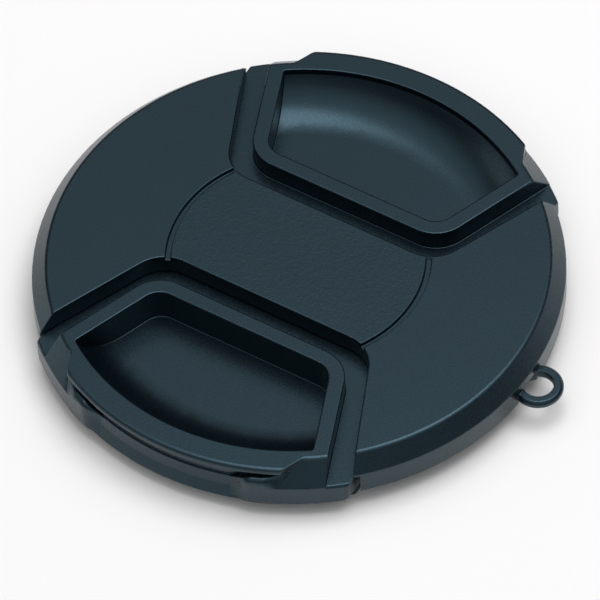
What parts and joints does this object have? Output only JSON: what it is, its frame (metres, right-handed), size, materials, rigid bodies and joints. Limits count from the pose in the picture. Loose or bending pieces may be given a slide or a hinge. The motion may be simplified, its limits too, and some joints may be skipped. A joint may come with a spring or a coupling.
{
  "type": "camera lens cap",
  "caption": "Round centre-pinch camera lens cap with a bevelled rim, sprung finger slides that carry thread jaws, and a small cord eyelet on the rim.",
  "frame": {"origin": "centre of the back plate's rear face, level with the rim's rear edge, on the cap's axis", "axes": "+Z along the cap's axis, out of its front; +X towards the cord eyelet; the slides are pinched along Y"},
  "size_m": [0.0802, 0.0764, 0.0093],
  "materials": {
    "moulded_abs": "fine matte moulded black",
    "spring_steel": "bright drawn wire"
  },
  "bodies": {
    "shell": {"front_shell": "moulded_abs", "back_plate": "moulded_abs", "left_spring": "spring_steel", "right_spring": "spring_steel"},
    "front_slide": {"front_slide": "moulded_abs"},
    "rear_slide": {"rear_slide": "moulded_abs"}
  },
  "joints": [
    {"name": "front_pinch", "type": "slide", "parent": "shell", "child": "front_slide", "axis": [0, 1, 0], "range_m": [0, 0.0025], "stiffness_N_per_m": 600, "springref_m": -0.005, "deforming": ["left_spring", "right_spring"]},
    {"name": "rear_pinch", "type": "slide", "parent": "shell", "child": "rear_slide", "axis": [0, -1, 0], "range_m": [0, 0.0025], "stiffness_N_per_m": 600, "springref_m": -0.005, "deforming": ["left_spring", "right_spring"]}
  ]
}
